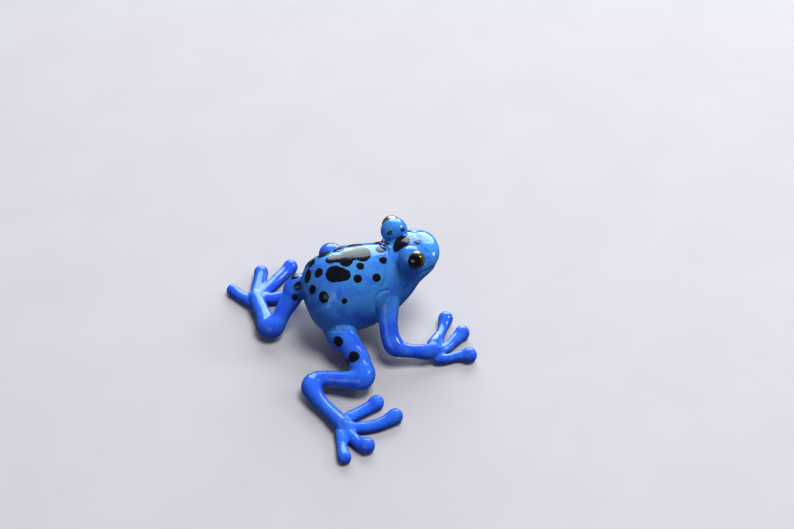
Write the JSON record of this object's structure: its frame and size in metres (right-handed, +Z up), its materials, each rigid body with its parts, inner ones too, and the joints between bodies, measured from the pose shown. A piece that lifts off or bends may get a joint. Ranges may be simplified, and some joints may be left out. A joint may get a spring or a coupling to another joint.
{
  "type": "miniature glass frog figurine",
  "caption": "Small lampworked glass frog in a walking stance: plump blue body, raised head with domed eyes, bent legs on splayed ball-tipped toes, black glass dots on back and thigh.",
  "frame": {"origin": "on the table under the middle of the frog's overall box", "axes": "+Z up; the frog looks along -Y; its left side is at +X"},
  "size_m": [0.0418, 0.0312, 0.0153],
  "materials": {
    "sky_blue_glass": "opaque light blue glass, fire polished, very glossy",
    "cobalt_blue_glass": "opaque deep blue glass, fire polished, very glossy",
    "amber_glass": "dark olive and amber glass bead with a black pupil, very glossy",
    "black_glass": "black glass melted flush into the blue, very glossy"
  },
  "bodies": {
    "root": {"torso": "sky_blue_glass", "head": "sky_blue_glass", "eye_dome_right": "sky_blue_glass", "eye_right": "amber_glass", "eye_dome_left": "sky_blue_glass", "eye_left": "amber_glass", "thigh_right": "cobalt_blue_glass", "shank_right": "cobalt_blue_glass", "tarsus_right": "cobalt_blue_glass", "foot_right": "cobalt_blue_glass", "toe_right_1": "cobalt_blue_glass", "toe_right_2": "cobalt_blue_glass", "toe_right_3": "cobalt_blue_glass", "toe_right_4": "cobalt_blue_glass", "upper_arm_right": "cobalt_blue_glass", "forearm_right": "cobalt_blue_glass", "hand_right": "cobalt_blue_glass", "finger_right_1": "cobalt_blue_glass", "finger_right_2": "cobalt_blue_glass", "finger_right_3": "cobalt_blue_glass", "thigh_left": "cobalt_blue_glass", "shank_left": "cobalt_blue_glass", "tarsus_left": "cobalt_blue_glass", "foot_left": "cobalt_blue_glass", "toe_left_1": "cobalt_blue_glass", "toe_left_2": "cobalt_blue_glass", "toe_left_3": "cobalt_blue_glass", "toe_left_4": "cobalt_blue_glass", "upper_arm_left": "cobalt_blue_glass", "forearm_left": "cobalt_blue_glass", "hand_left": "cobalt_blue_glass", "finger_left_1": "cobalt_blue_glass", "finger_left_2": "cobalt_blue_glass", "finger_left_3": "cobalt_blue_glass", "dot_1": "black_glass", "dot_2": "black_glass", "dot_3": "black_glass", "dot_4": "black_glass", "dot_5": "black_glass", "dot_6": "black_glass", "dot_7": "black_glass"}
  },
  "joints": []
}
